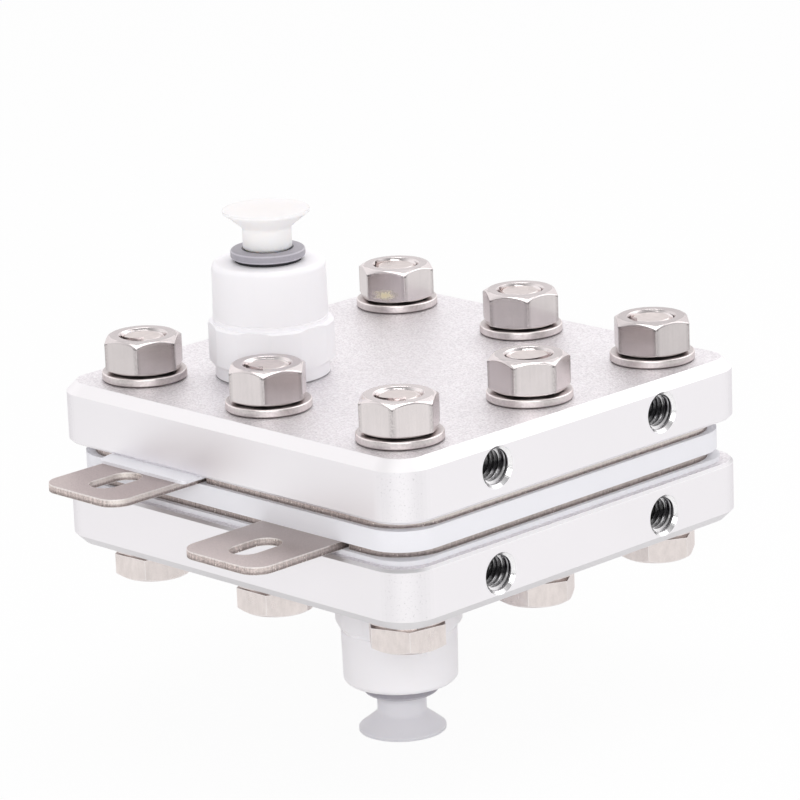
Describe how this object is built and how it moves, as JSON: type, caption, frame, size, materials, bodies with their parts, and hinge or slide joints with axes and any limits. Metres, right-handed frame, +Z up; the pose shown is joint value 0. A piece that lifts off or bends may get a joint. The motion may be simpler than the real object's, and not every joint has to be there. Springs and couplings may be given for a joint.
{
  "type": "pem electrolyzer cell",
  "caption": "Square bolted electrolyzer cell: metal end plates, gaskets and membrane stack, two slotted terminal tabs, push-in tube fittings above and below.",
  "frame": {"origin": "middle of the rectangle of four threaded side holes, on the +X side of the end plates, half way up the clamped stack", "axes": "+Z up through the stack towards the nuts, +X out of the side with the threaded holes, terminal tabs towards -Y"},
  "size_m": [0.0692, 0.0834, 0.0706],
  "materials": {
    "end_plate": "satin, blasted faces",
    "insulation": "matte",
    "terminal_sheet": "satin",
    "membrane": "satin",
    "metal_felt": "matte",
    "carbon_layer": "matte",
    "fastener": "polished",
    "sleeve": "matte",
    "fitting": "satin",
    "collet": "satin",
    "teeth": "bright",
    "seal": "matte",
    "plug": "satin"
  },
  "bodies": {
    "cell": {"lower_end_plate": "end_plate", "lower_insulating_gasket": "insulation", "lower_terminal_plate": "terminal_sheet", "lower_frame_gasket": "insulation", "cathode_diffusion_layer": "carbon_layer", "membrane": "membrane", "anode_felt": "metal_felt", "upper_frame_gasket": "insulation", "upper_terminal_plate": "terminal_sheet", "upper_insulating_gasket": "insulation", "upper_end_plate": "end_plate", "hex_bolts": "fastener", "hex_nuts": "fastener", "nut_washers": "fastener", "head_washers": "fastener", "bolt_sleeves": "sleeve", "upper_fitting_body": "fitting", "upper_port_seal": "seal", "upper_tube_seal": "seal", "upper_blanking_plug": "plug", "lower_fitting_body": "fitting", "lower_port_seal": "seal", "lower_tube_seal": "seal", "lower_blanking_plug": "plug"},
    "upper_collet": {"upper_release_collet": "collet", "upper_grip_teeth": "teeth"},
    "lower_collet": {"lower_release_collet": "collet", "lower_grip_teeth": "teeth"}
  },
  "joints": [
    {"name": "upper_collet_press", "type": "slide", "parent": "cell", "child": "upper_collet", "axis": [0, 0, -1], "range_m": [0, 0.00035], "stiffness_N_per_m": 800},
    {"name": "lower_collet_press", "type": "slide", "parent": "cell", "child": "lower_collet", "axis": [0, 0, 1], "range_m": [0, 0.00035], "stiffness_N_per_m": 800}
  ]
}
